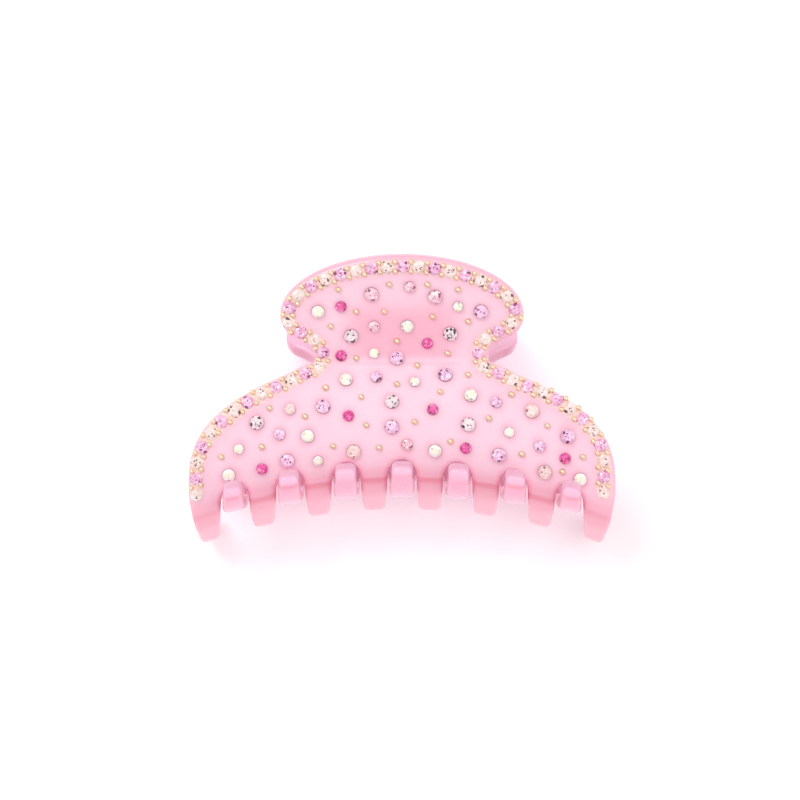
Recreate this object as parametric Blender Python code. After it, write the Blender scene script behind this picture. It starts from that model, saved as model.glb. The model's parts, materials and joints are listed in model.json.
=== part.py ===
"""Hair claw clip: two bent acetate jaws on a sprung hinge, the front one set with rhinestones.

Metres, +Z up, X along the hinge pin, Y from the teeth to the handles. The clip lies on its rear
jaw, with the front jaw on top. Each jaw is first drawn as the flat sheet that it is cut from, at
x across and s along the sheet (s is 0 at the waist, grows towards the teeth and is negative on the
handle), and is then bent along the side profile about the hinge pin.
"""

import math

import bmesh
import bpy
from mathutils import Matrix, Vector

MM = 0.001

# Sheet and side profile of a jaw, measured from the pin's axis
SHEET = 3.5 * MM  # thickness of the acetate
WAIST_HEIGHT = 8.4 * MM  # from the pin's axis to the outer surface
HANDLE_ANGLE = math.radians(29)
HANDLE_BEND = 8.0 * MM  # outer radius between the waist and the handle
HANDLE_REACH = 21.1 * MM  # from the waist to the handle's end, along the sheet
# The sheet's bends from the waist to the tooth tips: outer radius, signed by the way it turns,
# and the heading that it ends at, in degrees past level
BODY_BENDS = (
    (-8.0 * MM, -14.0),
    (26.3 * MM, 28.0),
    (10.0 * MM, 78.0),
    (75.0 * MM, 82.0),
    (11.0 * MM, 139.5),
)
ARCH = 4.1  # fall of the front sheet towards the teeth, per metre of x squared
REAR_ARCH = 3.0  # the same for the rear sheet
DOME = 1.49  # fall of the sheet towards the other jaw, per metre of x squared
CURVED_FROM = 18.0 * MM  # the arch and the dome are complete this far past the waist

# Outline of the flat sheet
HANDLE_WIDTH = 48.0 * MM
HANDLE_MIDDLE = -8.9 * MM  # s of the handle's widest place
HANDLE_RISE = HANDLE_REACH + HANDLE_MIDDLE
WAIST_HALF = 17.0 * MM
# The edge from the handle's widest place to a tooth, as (x, s), which a smooth curve joins
SIDE_EDGE = (
    (23.9, -7.8), (23.3, -6.4), (22.4, -5.3), (21.2, -4.6), (19.9, -3.9), (18.6, -3.1),
    (17.6, -2.3), (17.05, -1.3), (17.1, -0.4), (17.8, 0.2), (20.0, 0.9), (23.2, 2.5), (27.0, 4.1), (31.4, 5.9), (33.8, 7.0),
    (36.4, 8.3), (38.7, 9.8), (40.3, 11.3), (41.3, 12.9), (41.8, 14.4), (42.0, 17.0),
    (42.0, 19.5), (41.7, 22.0), (41.3, 25.5), (40.8, 30.0), (40.2, 38.0), (39.9, 42.0),
)
TOOTH_PITCH = 11.0 * MM
SLOT_TOP = 20.2 * MM  # s of each slot's round end
SLOT_ROUND = 3.6 * MM  # length of the round end
TOOTH_ROOT = 2.7 * MM  # half width of a tooth at its root, and what a far tooth adds to it
TOOTH_ROOT_GAIN = 0.006
TOOTH_TIP = 2.05 * MM  # half width at the tip, and what a far tooth loses from it
TOOTH_TIP_LOSS = 0.005
TIP_CORNER = 1.2 * MM  # radius of a tip's two corners
FRONT_TEETH = 8
REAR_TEETH = 7
REAR_NARROWING = 0.77  # the rear body's flare past the waist, as a share of the front's
REAR_HANDLE_WIDTH = 46.8 * MM
REAR_SHORTENING = 1.45  # what a far rear tooth loses in length, per metre of x squared

# Hinge
GAP = 0.3 * MM  # kept between pieces that touch
PIN_RADIUS = 1.0 * MM
PIN_HALF_LENGTH = 12.6 * MM
LUG_RADIUS = 3.6 * MM
LUG_WIDTH = 2.8 * MM
FRONT_LUG_X = 6.8 * MM
REAR_LUG_X = FRONT_LUG_X + LUG_WIDTH + GAP
LUG_ON_HANDLE = 9.0 * MM  # how far a lug's foot is bonded along the handle and the body
LUG_ON_BODY = 3.0 * MM
LUG_TOE = 1.5 * MM
CAP_RADIUS = 2.1 * MM
CAP_LENGTH = 1.6 * MM
CAP_WALL = 0.6 * MM
WIRE_RADIUS = 0.5 * MM
COIL_RADIUS = 2.5 * MM
COIL_PITCH = 1.36 * MM
COIL_TURNS = 6
LEG_REACH = 12.0 * MM  # where a spring leg bears on its handle, from the waist

# Rhinestones
LARGE = 1.5 * MM
MEDIUM = 1.2 * MM
STONE_SIDES = 8
# The stones' places on the front sheet by colour and radius, as (x, s) in millimetres
STONES = (
    ("rose", LARGE, ((-6, -13.5), (6.5, -13))),
    ("rose", MEDIUM, ((1.5, -15), (-5.5, -7), (1, 17))),
    ("fuchsia", MEDIUM, ((-12, -11), (5, -3.5), (-12, -1), (-10.5, 11), (6, 10), (12.5, 17),
                         (32, 15.5), (-27.5, 18.5))),
    ("aurora", LARGE, ((-16.5, -10), (1, -7), (-11, 4), (13.5, 7), (-18.5, 14), (6.5, 18),
                       (-34, 18), (35, 18.5))),
    ("aurora", MEDIUM, ((11, -11), (-5.5, -1.5), (2.5, 4.5), (21, 13), (-32, 14), (-16.5, 19))),
    ("lilac", LARGE, ((15.5, -10), (-1, -0.5), (8.5, 3), (-15.5, 9), (-2, 13.5), (32.5, 12),
                      (-22.5, 18), (19, 17.5))),
    ("lilac", MEDIUM, ((-5, 3.5), (18.5, 8), (-24, 13), (27, 14.5))),
    ("crystal", LARGE, ((9.5, -5.5), (-10, -5), (-2, 8.5), (-28.5, 10.5), (13, 12.5))),
    ("champagne", LARGE, ((25.5, 9), (-9.5, 18), (28, 19))),
    ("champagne", MEDIUM, ((-22, 9),)),
)

# Fineness of the solids
BEND_STEP = math.radians(12)
CROSS_STEP = 7.0 * MM
EDGE_STEP = 2.2 * MM


# Materials

def material(name, colour, roughness, metallic=0.0):
    made = bpy.data.materials.new(name)
    made.use_nodes = True
    shader = made.node_tree.nodes["Principled BSDF"]
    shader.inputs["Base Color"].default_value = (*colour, 1.0)
    shader.inputs["Roughness"].default_value = roughness
    shader.inputs["Metallic"].default_value = metallic
    return made


def all_materials():
    return {
        "acetate": material("pink_acetate", (0.95, 0.52, 0.62), 0.12),
        "steel": material("spring_steel", (0.62, 0.62, 0.64), 0.25, 1.0),
        "crystal": material("crystal_stone", (0.92, 0.93, 0.95), 0.03),
        "aurora": material("aurora_stone", (0.90, 0.93, 0.80), 0.03),
        "champagne": material("champagne_stone", (0.95, 0.84, 0.74), 0.03),
        "rose": material("rose_stone", (0.95, 0.68, 0.74), 0.03),
        "lilac": material("lilac_stone", (0.85, 0.58, 0.80), 0.03),
        "fuchsia": material("fuchsia_stone", (0.72, 0.05, 0.24), 0.03),
    }


# Side profile

def body_run():
    """The bends as (s, y, z, heading, curvature) at each one's start, and the s where they end."""
    run = []
    s, y, z, heading = 0.0, 0.0, WAIST_HEIGHT, math.pi
    for radius, past_level in BODY_BENDS:
        end = math.pi + math.radians(past_level)
        run.append((s, y, z, heading, 1 / radius))
        y += radius * (math.sin(end) - math.sin(heading))
        z -= radius * (math.cos(end) - math.cos(heading))
        s += radius * (end - heading)
        heading = end
    return run, s


BODY_RUN, TIP = body_run()


def on_profile(s):
    """(y, z) on the outer surface in the middle of a jaw, and the unit normal there."""
    if s < 0:
        angle = min(-s / HANDLE_BEND, HANDLE_ANGLE)
        straight = -s - HANDLE_BEND * angle
        y = HANDLE_BEND * math.sin(angle) + straight * math.cos(angle)
        z = WAIST_HEIGHT + HANDLE_BEND * (1 - math.cos(angle)) + straight * math.sin(angle)
        return y, z, -math.sin(angle), math.cos(angle)
    start, y, z, heading, curvature = [bend for bend in BODY_RUN if bend[0] <= s][-1]
    now = heading + curvature * (s - start)
    y += (math.sin(now) - math.sin(heading)) / curvature
    z -= (math.cos(now) - math.cos(heading)) / curvature
    return y, z, math.sin(now), -math.cos(now)


def bent(side, x, s, depth=0.0):
    """The place of (x, s) on the bent sheet, depth under its outer surface. side is 1 in front."""
    y, z, normal_y, normal_z = on_profile(s)
    share = min(max(s / CURVED_FROM, 0.0), 1.0)
    share *= share * (3 - 2 * share)
    arch = ARCH if side > 0 else REAR_ARCH
    y -= depth * normal_y + arch * share * x * x
    z -= depth * normal_z + DOME * share * x * x
    return Vector((x, y, side * z))


def bend_lines():
    """Each s where the solid's facets change direction."""
    lines = []
    ends = [bend[0] for bend in BODY_RUN[1:]] + [TIP]
    for (start, _y, _z, _heading, curvature), end in zip(BODY_RUN, ends):
        pieces = max(1, round(abs(curvature) * (end - start) / BEND_STEP))
        lines += [start + (end - start) * i / pieces for i in range(pieces)]
    pieces = round(HANDLE_ANGLE / BEND_STEP)
    return lines + [-HANDLE_BEND * HANDLE_ANGLE * (i + 1) / pieces for i in range(pieces)]


# Outline of the flat sheet

def smooth(points, step):
    """A Catmull-Rom curve through the points, with a place about every step."""
    ends = [2 * points[0] - points[1], *points, 2 * points[-1] - points[-2]]
    curve = []
    for before, a, b, after in zip(ends, ends[1:], ends[2:], ends[3:]):
        pieces = max(1, round((b - a).length / step))
        for i in range(pieces):
            t = i / pieces
            curve.append(
                0.5 * (2 * a + (b - before) * t + (2 * before - 5 * a + 4 * b - after) * t * t
                       + (3 * a - before - 3 * b + after) * t ** 3)
            )
    return curve + [points[-1]]


def handle_edge(width):
    """Half of the handle's round end, from the middle of it to the handle's widest place."""
    count = round(0.5 * math.pi * HANDLE_RISE / EDGE_STEP) + 6
    edge = []
    for i in range(count + 1):
        angle = 0.5 * math.pi * (i / count - 1)
        x = 0.5 * width * math.cos(angle)
        edge.append(Vector((x, HANDLE_MIDDLE + HANDLE_RISE * math.sin(angle))))
    return edge


def side_edge(width, narrowing):
    points = [Vector((0.5 * width, HANDLE_MIDDLE))]
    above = (0.5 * width - WAIST_HALF) / (0.5 * HANDLE_WIDTH - WAIST_HALF)
    for x, s in SIDE_EDGE:
        flare = narrowing if s > 0 else above
        points.append(Vector((WAIST_HALF + flare * (x * MM - WAIST_HALF), s * MM)))
    return smooth(points, EDGE_STEP)[1:]


def tooth_half_width(centre, s):
    root = TOOTH_ROOT + TOOTH_ROOT_GAIN * abs(centre)
    tip = TOOTH_TIP - TOOTH_TIP_LOSS * abs(centre)
    share = (s - SLOT_TOP) / (TIP - SLOT_TOP)
    return root + (tip - root) * share


def tip_round(right, left, end):
    """A tooth's tip with its two round corners, from its right edge to its left edge."""
    arc = []
    for i in range(8):
        angle = 0.5 * math.pi * (i if i < 4 else i - 1) / 3
        middle = right - TIP_CORNER if i < 4 else left + TIP_CORNER
        x = middle + TIP_CORNER * math.cos(angle)
        arc.append(Vector((x, end - TIP_CORNER + TIP_CORNER * math.sin(angle))))
    return arc


def slot_round(left, right):
    """The round end of the slot between two teeth, from the right tooth to the left one."""
    s = SLOT_TOP + SLOT_ROUND
    edge_right = right - tooth_half_width(right, s)
    edge_left = left + tooth_half_width(left, s)
    middle = 0.5 * (edge_left + edge_right)
    half = 0.5 * (edge_right - edge_left)
    return [
        Vector((middle + half * math.cos(math.pi * i / 8),
                s - SLOT_ROUND * math.sin(math.pi * i / 8)))
        for i in range(9)
    ]


def outline(teeth, width, narrowing, shortening):
    """The flat sheet's whole edge as (x, s), starting and ending at the middle of the handle."""
    centres = [(0.5 * (teeth - 1) - i) * TOOTH_PITCH for i in range(teeth)]
    right = handle_edge(width) + side_edge(width, narrowing)
    outer = right[-1].x
    teeth_edge = []
    for i, centre in enumerate(centres):
        half = tooth_half_width(centre, TIP)
        first = outer if i == 0 else centre + half
        last = -outer if i == teeth - 1 else centre - half
        teeth_edge += tip_round(first, last, TIP - shortening * centre * centre)
        if i < teeth - 1:
            teeth_edge += slot_round(centres[i + 1], centre)
    left = [Vector((-point.x, point.y)) for point in reversed(right[1:])]
    return right + teeth_edge + left


# Mesh helpers

def new_object(name, mesh, finish, hinge):
    made = bpy.data.objects.new(name, mesh)
    bpy.context.scene.collection.objects.link(made)
    if not mesh.materials:
        mesh.materials.append(finish)
    made.parent = hinge
    return made


def mesh_of(name, shape):
    bmesh.ops.recalc_face_normals(shape, faces=shape.faces)
    mesh = bpy.data.meshes.new(name)
    shape.to_mesh(mesh)
    shape.free()
    return mesh


def cut_along(shape, point, normal):
    """New edges where the plane crosses the sheet."""
    everything = shape.verts[:] + shape.edges[:] + shape.faces[:]
    bmesh.ops.bisect_plane(
        shape, geom=everything, dist=0.02 * MM, plane_co=point, plane_no=normal
    )


def turned(profile, sides):
    """A solid turned about X from (x, radius) pairs. A radius of 0 closes it on the axis."""
    shape = bmesh.new()
    rings = []
    for x, radius in profile:
        if radius == 0:
            rings.append([shape.verts.new((x, 0, 0))])
            continue
        angles = [2 * math.pi * i / sides for i in range(sides)]
        rings.append([
            shape.verts.new((x, radius * math.cos(a), radius * math.sin(a))) for a in angles
        ])
    for near, far in zip(rings, rings[1:]):
        for i in range(sides):
            corners = [near[i % len(near)], near[(i + 1) % len(near)],
                       far[(i + 1) % len(far)], far[i % len(far)]]
            shape.faces.new(list(dict.fromkeys(corners)))
    return shape


# Jaws

def jaw(name, side, edge, finish, hinge):
    """The flat sheet, cut along its bend lines, given its thickness and bent."""
    shape = bmesh.new()
    shape.faces.new([shape.verts.new((p.x, p.y, 0)) for p in edge])
    for s in bend_lines():
        cut_along(shape, (0, s, 0), (0, 1, 0))
    cuts = int(0.5 * HANDLE_WIDTH / CROSS_STEP) + 3
    for i in range(-cuts, cuts + 1):
        cut_along(shape, (i * CROSS_STEP, 0, 0), (1, 0, 0))
    bmesh.ops.triangulate(shape, faces=shape.faces[:])
    raised = bmesh.ops.extrude_face_region(shape, geom=shape.faces[:])
    for vertex in raised["geom"]:
        if isinstance(vertex, bmesh.types.BMVert):
            vertex.co.z = SHEET
    for vertex in shape.verts:
        vertex.co = bent(side, vertex.co.x, vertex.co.y, vertex.co.z)
    return new_object(name, mesh_of(name, shape), finish, hinge)


# Hinge

def lug_outline(side):
    """A lug's side view: its foot along the inside of the jaw and its eye round the pin."""
    depth = SHEET + GAP
    pieces = 8
    span = LUG_ON_HANDLE + LUG_ON_BODY
    foot = [bent(side, 0, LUG_ON_BODY - span * i / pieces, depth) for i in range(pieces + 1)]
    toe = bent(side, 0, -LUG_ON_HANDLE, depth + LUG_TOE)
    eye = []
    for i in range(13):
        angle = math.radians(-60 - 130 * i / 12)
        eye.append(Vector((0, LUG_RADIUS * math.cos(angle), side * LUG_RADIUS * math.sin(angle))))
    return foot + [toe] + eye


def lug(name, side, middle, cutter, finish, hinge):
    shape = bmesh.new()
    corners = [
        shape.verts.new((middle - 0.5 * LUG_WIDTH, p.y, p.z)) for p in lug_outline(side)
    ]
    face = shape.faces.new(corners)
    raised = bmesh.ops.extrude_face_region(shape, geom=[face])
    for vertex in raised["geom"]:
        if isinstance(vertex, bmesh.types.BMVert):
            vertex.co.x += LUG_WIDTH
    made = new_object(name, mesh_of(name, shape), finish, hinge)
    bore = made.modifiers.new("bore", "BOOLEAN")
    bore.object = cutter
    return made


def bore_cutter(hinge):
    """The cylinder that drills every lug's eye."""
    half = REAR_LUG_X + LUG_WIDTH
    radius = PIN_RADIUS + GAP
    shape = turned(((-half, 0), (-half, radius), (half, radius), (half, 0)), 24)
    cutter = new_object("pin_bore_cutter", mesh_of("pin_bore_cutter", shape), None, hinge)
    cutter.hide_render = True
    cutter.display_type = "WIRE"
    return cutter


def pin(finish, hinge):
    half = PIN_HALF_LENGTH
    shape = turned(((-half, 0), (-half, PIN_RADIUS), (half, PIN_RADIUS), (half, 0)), 24)
    return new_object("hinge_pin", mesh_of("hinge_pin", shape), finish, hinge)


def pin_cap(name, sign, finish, hinge):
    """A cup pressed over the end of the pin."""
    end = PIN_HALF_LENGTH + GAP + CAP_WALL
    mouth = end - CAP_LENGTH
    floor = end - CAP_WALL
    bore = PIN_RADIUS + GAP
    profile = ((floor, 0), (floor, bore), (mouth, bore), (mouth, CAP_RADIUS),
               (end - 0.4 * MM, CAP_RADIUS), (end, CAP_RADIUS - 0.5 * MM), (end, 0))
    shape = turned([(sign * x, radius) for x, radius in profile], 20)
    return new_object(name, mesh_of(name, shape), finish, hinge)


def leg_end(side):
    return bent(side, 0, -LEG_REACH, SHEET + GAP + WIRE_RADIUS)


def spring_path():
    """Down the rear handle's leg, round the coil and out along the front handle's leg."""
    end = leg_end(1)
    away = math.acos(COIL_RADIUS / math.hypot(end.y, end.z))
    leaves = math.atan2(end.z, end.y) - away
    half = 0.5 * COIL_PITCH * COIL_TURNS
    turn = 2 * math.pi * COIL_TURNS - 2 * leaves
    steps = round(12 * turn / (2 * math.pi))
    path = [Vector((-half, end.y, -end.z))]
    for i in range(steps + 1):
        angle = -leaves - turn * i / steps
        x = -half + 2 * half * i / steps
        path.append(Vector((x, COIL_RADIUS * math.cos(angle), COIL_RADIUS * math.sin(angle))))
    return path + [Vector((half, end.y, end.z))]


def torsion_spring(finish, hinge):
    wire = bpy.data.curves.new("torsion_spring", "CURVE")
    wire.dimensions = "3D"
    wire.bevel_depth = WIRE_RADIUS
    wire.bevel_resolution = 1
    wire.use_fill_caps = True
    path = spring_path()
    spline = wire.splines.new("POLY")
    spline.points.add(len(path) - 1)
    for point, place in zip(spline.points, path):
        point.co = (*place, 1)
    return new_object("torsion_spring", wire, finish, hinge)


# Rhinestones

def stone_mesh(name, radius, finish):
    """A flat-backed stone: a short pavilion, a girdle, a crown and a table."""
    rings = ((0.0, 0.8), (0.35, 1.0), (0.45, 1.0), (0.8, 0.58))
    shape = bmesh.new()
    levels = []
    for height, share in rings:
        angles = [2 * math.pi * i / STONE_SIDES for i in range(STONE_SIDES)]
        levels.append([
            shape.verts.new((share * radius * math.cos(a), share * radius * math.sin(a),
                             height * radius))
            for a in angles
        ])
    for low, high in zip(levels, levels[1:]):
        for i in range(STONE_SIDES):
            j = (i + 1) % STONE_SIDES
            shape.faces.new((low[i], low[j], high[j], high[i]))
    shape.faces.new(levels[0][::-1])
    shape.faces.new(levels[-1])
    mesh = mesh_of(name, shape)
    mesh.materials.append(finish)
    return mesh


def seat_on_front(x, s):
    """Where a stone sits: its back a gap above the front sheet, its axis along the normal."""
    reach = 0.5 * MM
    place = bent(1, x, s, -GAP)
    across = bent(1, x + reach, s, -GAP) - bent(1, x - reach, s, -GAP)
    along = bent(1, x, s - reach, -GAP) - bent(1, x, s + reach, -GAP)
    up = across.cross(along).normalized()
    across.normalize()
    turn = Matrix((across, up.cross(across), up)).transposed()
    return Matrix.Translation(place) @ turn.to_4x4()


def rhinestones(finishes, hinge):
    stones = []
    for colour, radius, places in STONES:
        mesh = stone_mesh(f"{colour}_stone", radius, finishes[colour])
        for x, s in places:
            name = f"rhinestone_{len(stones) + 1:02d}"
            stone = new_object(name, mesh, finishes[colour], hinge)
            stone.matrix_local = seat_on_front(x * MM, s * MM)
            stones.append(stone)
    return stones


def stand_on_ground(hinge, resting):
    """Moves the hinge so that the clip rests on z = 0, centred on the origin."""
    corners = [vertex.co for piece in resting for vertex in piece.data.vertices]
    ys = [corner.y for corner in corners]
    lowest = min(corner.z for corner in corners)
    hinge.location = (0, -0.5 * (min(ys) + max(ys)), -lowest)


def main():
    for leftover in list(bpy.data.objects):
        bpy.data.objects.remove(leftover)
    finishes = all_materials()
    acetate, steel = finishes["acetate"], finishes["steel"]
    hinge = bpy.data.objects.new("jaw_hinge", None)
    bpy.context.scene.collection.objects.link(hinge)

    front_edge = outline(FRONT_TEETH, HANDLE_WIDTH, 1.0, 0.0)
    rear_edge = outline(REAR_TEETH, REAR_HANDLE_WIDTH, REAR_NARROWING, REAR_SHORTENING)
    front = jaw("front_jaw", 1, front_edge, acetate, hinge)
    rear = jaw("rear_jaw", -1, rear_edge, acetate, hinge)
    cutter = bore_cutter(hinge)
    for word, sign in (("left", -1), ("right", 1)):
        lug(f"front_lug_{word}", 1, sign * FRONT_LUG_X, cutter, acetate, hinge)
        lug(f"rear_lug_{word}", -1, sign * REAR_LUG_X, cutter, acetate, hinge)
        pin_cap(f"pin_cap_{word}", sign, steel, hinge)
    pin(steel, hinge)
    torsion_spring(steel, hinge)
    rhinestones(finishes, hinge)
    stand_on_ground(hinge, (front, rear))


main()
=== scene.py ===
"""Looks of the rhinestone hair claw clip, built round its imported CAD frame.

The jaws are rebuilt as smooth sheets with rounded rims on the CAD's own outline and side profile.
Faceted stones, gold beads and a finer hinge are added, and every piece gets its material here.
A place on a jaw is (x, s): x across, and s along the sheet from the waist towards the teeth.
"""

import json
import math
import random

import bmesh
import bpy
from mathutils import Matrix, Vector
from mathutils.kdtree import KDTree


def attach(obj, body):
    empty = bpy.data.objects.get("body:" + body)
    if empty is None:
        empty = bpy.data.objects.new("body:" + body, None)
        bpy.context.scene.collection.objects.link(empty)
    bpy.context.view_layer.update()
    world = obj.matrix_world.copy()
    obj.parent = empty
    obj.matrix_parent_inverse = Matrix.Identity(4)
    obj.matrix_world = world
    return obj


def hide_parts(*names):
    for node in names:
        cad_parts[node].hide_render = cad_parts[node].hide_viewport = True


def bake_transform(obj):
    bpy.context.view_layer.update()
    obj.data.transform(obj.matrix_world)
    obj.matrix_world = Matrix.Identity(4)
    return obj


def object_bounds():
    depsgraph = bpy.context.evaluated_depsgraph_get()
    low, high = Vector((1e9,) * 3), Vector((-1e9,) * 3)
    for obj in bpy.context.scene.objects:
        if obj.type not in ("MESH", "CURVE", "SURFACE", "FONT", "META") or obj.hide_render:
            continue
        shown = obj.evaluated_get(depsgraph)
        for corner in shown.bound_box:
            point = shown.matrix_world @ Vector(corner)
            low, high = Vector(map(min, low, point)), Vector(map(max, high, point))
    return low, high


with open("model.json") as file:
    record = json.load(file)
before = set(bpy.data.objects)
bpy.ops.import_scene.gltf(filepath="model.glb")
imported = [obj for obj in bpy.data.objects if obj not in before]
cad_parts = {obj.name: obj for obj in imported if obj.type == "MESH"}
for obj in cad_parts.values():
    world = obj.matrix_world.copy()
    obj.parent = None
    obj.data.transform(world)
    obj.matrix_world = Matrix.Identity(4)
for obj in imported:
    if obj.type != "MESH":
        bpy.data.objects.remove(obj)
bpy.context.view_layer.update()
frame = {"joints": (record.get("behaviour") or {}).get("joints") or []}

MM = 0.001
HINGE = Vector(frame["joints"][0]["pos_m"])

# The sheet and its side profile, as in the CAD
SHEET = 3.5 * MM
WAIST_HEIGHT = 8.4 * MM  # from the pin's line to the outer surface
HANDLE_ANGLE = math.radians(29)
HANDLE_BEND = 8.0 * MM  # radius of the bend between the waist and the handle
HANDLE_REACH = 21.1 * MM  # from the waist to the handle's end
# The body's bends towards the teeth: radius, and how far past level each one ends, in degrees
BODY_BENDS = (
    (-8.0 * MM, -14.0),
    (26.3 * MM, 28.0),
    (10.0 * MM, 78.0),
    (75.0 * MM, 82.0),
    (11.0 * MM, 139.5),
)
# How far the sides sweep towards the teeth (arch) and sink (dome), per metre of x squared
ARCH = 4.1
REAR_ARCH = 3.0
DOME = 1.49
CURVED_FROM = 18.0 * MM  # s from where both have their whole amount

# The flat outline, as in the CAD
BODY_WIDTH = 84.0 * MM
HANDLE_WIDTH = 48.0 * MM
HANDLE_MIDDLE = -8.9 * MM  # s where the handle is widest
HANDLE_RISE = HANDLE_REACH + HANDLE_MIDDLE
WAIST_HALF = 17.0 * MM
# The right edge from the handle past the waist to the outermost tooth, (x, s) in millimetres
SIDE_EDGE = (
    (23.9, -7.8), (23.3, -6.4), (22.4, -5.3), (21.2, -4.6), (19.9, -3.9), (18.6, -3.1),
    (17.6, -2.3), (17.05, -1.3), (17.1, -0.4), (17.8, 0.2), (20.0, 0.9), (23.2, 2.5),
    (27.0, 4.1), (31.4, 5.9), (33.8, 7.0), (36.4, 8.3), (38.7, 9.8), (40.3, 11.3),
    (41.3, 12.9), (41.8, 14.4), (42.0, 17.0), (42.0, 19.5), (41.7, 22.0), (41.3, 25.5),
    (40.8, 30.0), (40.2, 38.0), (39.9, 42.0),
)
TOOTH_PITCH = 11.0 * MM
SLOT_TOP = 20.2 * MM
SLOT_ROUND = 3.6 * MM  # height of a slot's round end
TOOTH_ROOT = 2.7 * MM  # half a tooth's width beside the slot's end
TOOTH_ROOT_GAIN = 0.006  # added to it per unit of distance from the middle
TOOTH_TIP = 2.05 * MM  # half a tooth's width at its tip
TOOTH_TIP_LOSS = 0.005
TIP_CORNER = 1.2 * MM
FRONT_TEETH = 8
REAR_TEETH = 7
REAR_NARROWING = 0.77  # of the flare from the waist to the body's side
REAR_HANDLE_WIDTH = 46.8 * MM
REAR_SHORTENING = 1.45  # of the outer teeth, per metre of their place across squared

# The hinge, as in the CAD
GAP = 0.3 * MM
PIN_RADIUS = 1.0 * MM
PIN_HALF_LENGTH = 12.6 * MM
LUG_RADIUS = 3.6 * MM
LUG_WIDTH = 2.8 * MM
FRONT_LUG_X = 6.8 * MM
REAR_LUG_X = FRONT_LUG_X + LUG_WIDTH + GAP
LUG_ON_HANDLE = 9.0 * MM
LUG_ON_BODY = 3.0 * MM
LUG_TOE = 1.5 * MM
CAP_RADIUS = 2.1 * MM
CAP_LENGTH = 1.6 * MM
CAP_END = PIN_HALF_LENGTH + GAP + 0.6 * MM
WIRE_RADIUS = 0.5 * MM
COIL_RADIUS = 2.5 * MM
COIL_PITCH = 1.36 * MM
COIL_TURNS = 6
LEG_REACH = 12.0 * MM  # along the handle, to where the spring's legs end
COIL_SIDES = 32
LEG_STEPS = 14
WIRE_SIDES = 12

# The scattered stones, as in the CAD: colour, radius and (x, s) in millimetres
LARGE = 1.5 * MM
MEDIUM = 1.2 * MM
STONES = (
    ("rose", LARGE, ((-6, -13.5), (6.5, -13))),
    ("rose", MEDIUM, ((1.5, -15), (-5.5, -7), (1, 17))),
    ("fuchsia", MEDIUM, ((-12, -11), (5, -3.5), (-12, -1), (-10.5, 11), (6, 10), (12.5, 17),
                         (32, 15.5), (-27.5, 18.5))),
    ("aurora", LARGE, ((-16.5, -10), (1, -7), (-11, 4), (13.5, 7), (-18.5, 14), (6.5, 18),
                       (-34, 18), (35, 18.5))),
    ("aurora", MEDIUM, ((11, -11), (-5.5, -1.5), (2.5, 4.5), (21, 13), (-32, 14), (-16.5, 19))),
    ("lilac", LARGE, ((15.5, -10), (-1, -0.5), (8.5, 3), (-15.5, 9), (-2, 13.5), (32.5, 12),
                      (-22.5, 18), (19, 17.5))),
    ("lilac", MEDIUM, ((-5, 3.5), (18.5, 8), (-24, 13), (27, 14.5))),
    ("crystal", LARGE, ((9.5, -5.5), (-10, -5), (-2, 8.5), (-28.5, 10.5), (13, 12.5))),
    ("champagne", LARGE, ((25.5, 9), (-9.5, 18), (28, 19))),
    ("champagne", MEDIUM, ((-22, 9),)),
)
# The single gold beads between them
BEADS = (
    (-12.5, -14.5), (-2.5, -15.5), (5, -15.5), (11, -14.5), (-9, -10), (-3.5, -10), (6, -9),
    (13, -8), (-14, -7), (-1, -4), (9, -1.5), (-9, -0.5), (3, 1), (13, 3), (-1, 5), (-15, 5.5),
    (-8, 7.5), (7.5, 6.5), (21.5, 6.5), (-26, 8.5), (-19, 10.5), (-7, 13), (2.5, 12.5),
    (17, 11), (28.5, 11), (-13.5, 16.5), (-4.5, 17.5), (9.5, 16), (23.5, 16.5), (-27.5, 14.5),
    (-35.5, 14.5), (35.5, 14.5), (31.5, 18),
)
BEAD = 0.62 * MM

# The border row
ROW_STONE = 1.34 * MM
ROW_INSET = 1.55 * MM  # from the outline to the row's middle
ROW_INSET_TOP = 2.0 * MM  # the same at the middle of the handle's end
ROW_START = 20.0 * MM  # s of the lowest stone on each side
ROW_ON_BODY = 13
ROW_ON_HANDLE = 25
ROW_BEAD_OFFSET = 0.95 * MM
ROW_SUNK = 0.45 * MM  # how far the row's stones are set into the sheet

RIM = 1.1 * MM  # radius of the sheet's rounded rim
RIM_STEPS = 4
OUTLINE_STEP = 0.7 * MM
FRONT_GRID = 0.6 * MM
REAR_GRID = 1.0 * MM
STONE_SUNK = 0.02 * MM  # how far a single stone is set into the sheet
STONE_FILL = 0.92  # a cut stone's radius over its seat's
AURORA_FILL = 0.84
BORDER_BEAD = 0.93 * BEAD
TURNED_SIDES = 32
FLOOR_GAP = 0.02 * MM

GLOW = 0.20  # painted glow: emission in the sheet's tint that lightens its shadows, standing in for light from inside the milky sheet

# The acetate's tints, linear
BODY_TINT = (0.76, 0.52, 0.61)
DEEP_TINT = (0.76, 0.34, 0.44)
DARK_REFLECTION_TINT = (0.68, 0.17, 0.24)
TEETH_TINT = (0.76, 0.35, 0.44)
LAVENDER_TINT = (0.76, 0.45, 0.59)
RIM_SHADE_TINT = (0.56, 0.28, 0.38)
REAR_TEETH_TINT = (0.76, 0.36, 0.49)
GLEAM_TINT = (0.76, 0.46, 0.60)
SLOT_SHADE_TINT = (0.72, 0.15, 0.25)
PEACH_TINT = (0.84, 0.62, 0.44)


# Side profile and outline

def body_run():
    """Where each bend of the body starts: (s, y, z, heading, curvature); and the tip's s."""
    run = []
    s, y, z, heading = 0.0, 0.0, WAIST_HEIGHT, math.pi
    for radius, past_level in BODY_BENDS:
        end = math.pi + math.radians(past_level)
        run.append((s, y, z, heading, 1 / radius))
        y += radius * (math.sin(end) - math.sin(heading))
        z -= radius * (math.cos(end) - math.cos(heading))
        s += radius * (end - heading)
        heading = end
    return run, s


BODY_RUN, TIP = body_run()


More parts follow.
